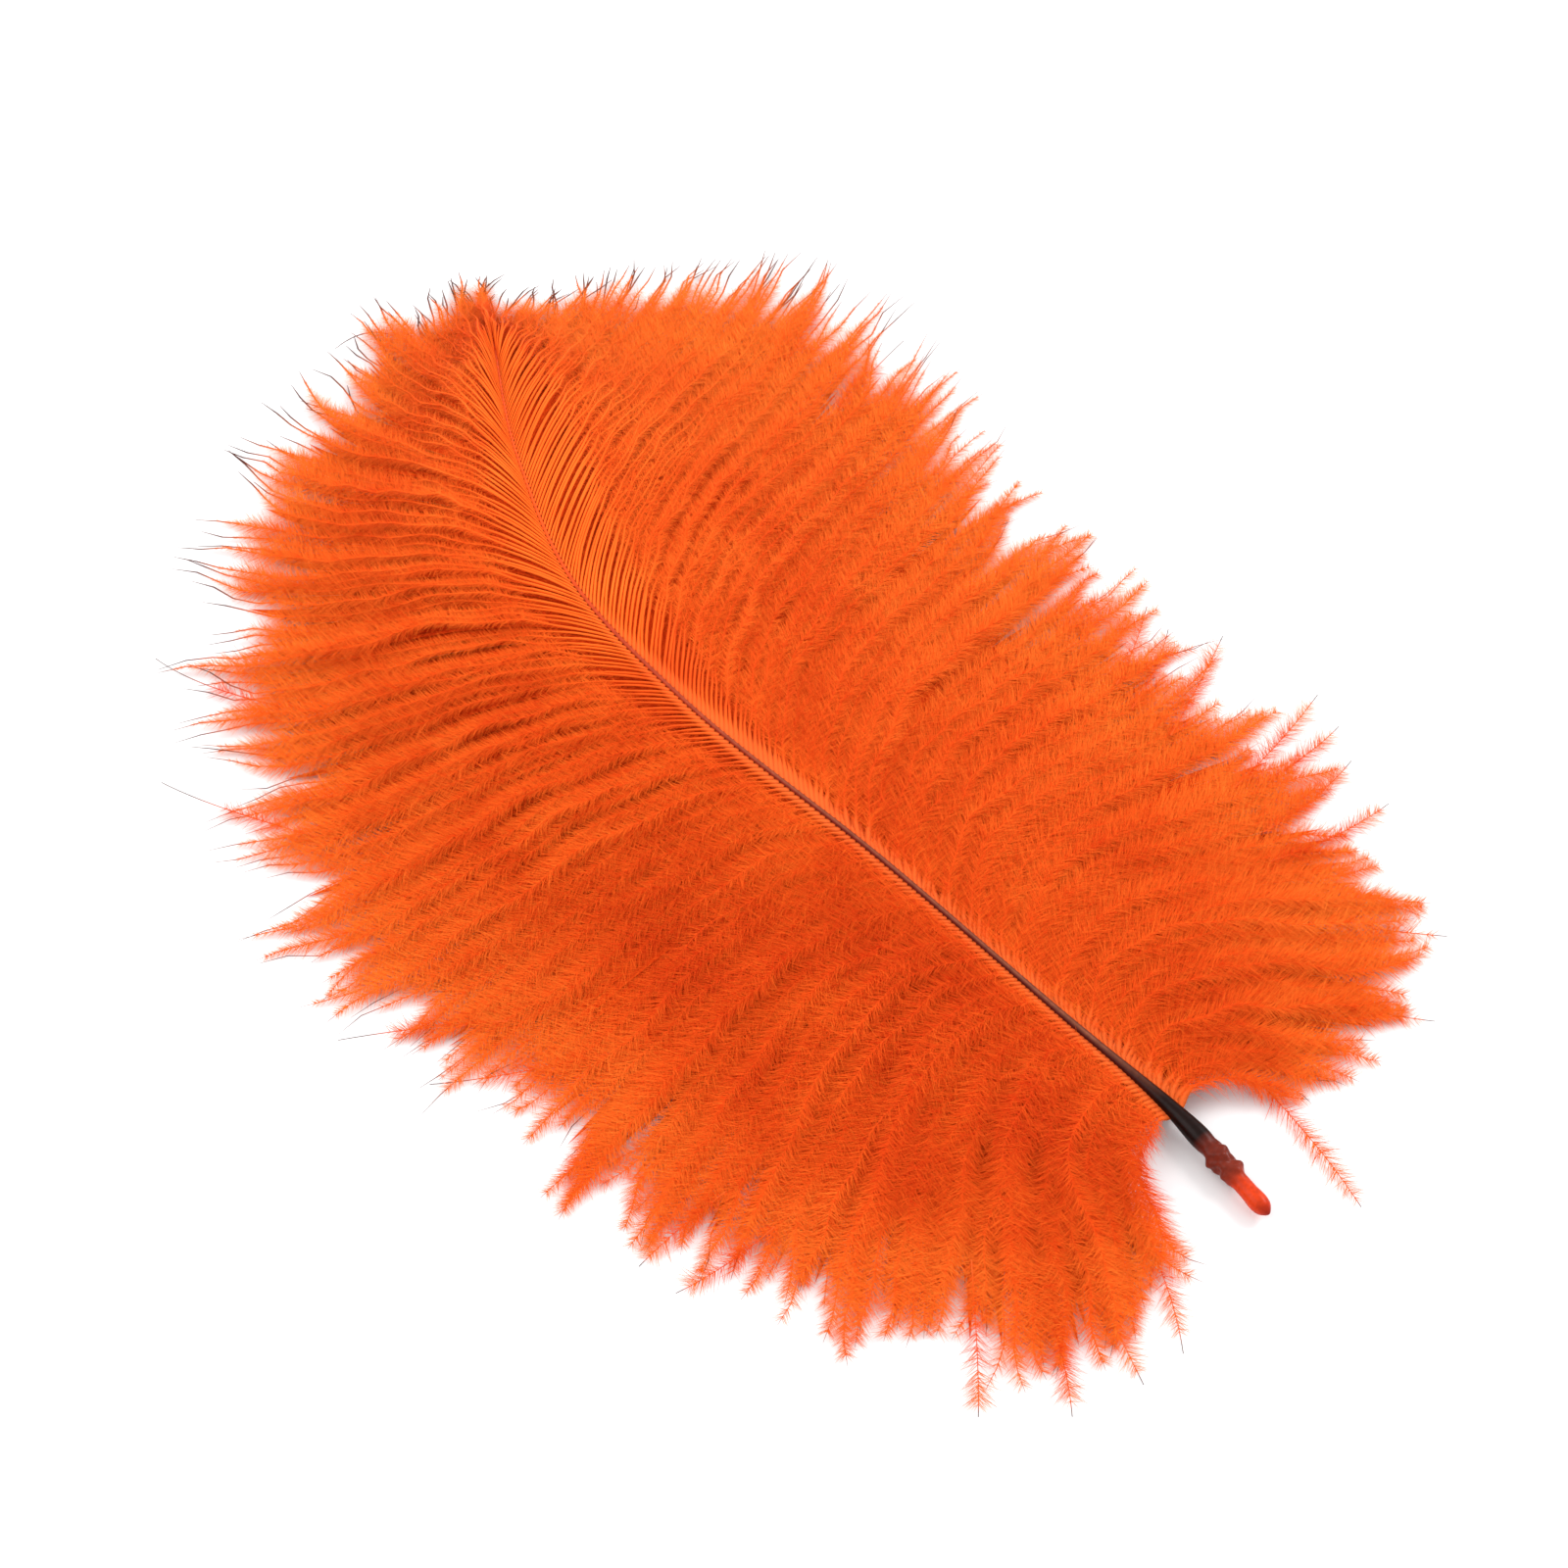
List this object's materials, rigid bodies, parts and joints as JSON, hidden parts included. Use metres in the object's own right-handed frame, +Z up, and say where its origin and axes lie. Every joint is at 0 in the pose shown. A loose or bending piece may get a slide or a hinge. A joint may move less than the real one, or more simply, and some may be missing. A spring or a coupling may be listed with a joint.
{
  "type": "ostrich feather",
  "caption": "Curled ostrich plume lying flat: a tapering quill between two wide, soft vanes of loose barbs that end in pointed locks; for trimming, fans and display.",
  "frame": {"origin": "middle of the feather's footprint, on the surface that it lies on", "axes": "+Y along the feather from the quill end to the tip, +Z up, +X towards the longer vane"},
  "size_m": [0.2344, 0.3212, 0.0267],
  "materials": {
    "quill": "satin dyed horn, dark brown-red, clear red-orange at the quill end",
    "barbs": "matt dyed down, vivid orange"
  },
  "bodies": {
    "root": {"quill": "quill", "vane_left": "barbs", "vane_right": "barbs"}
  },
  "joints": []
}
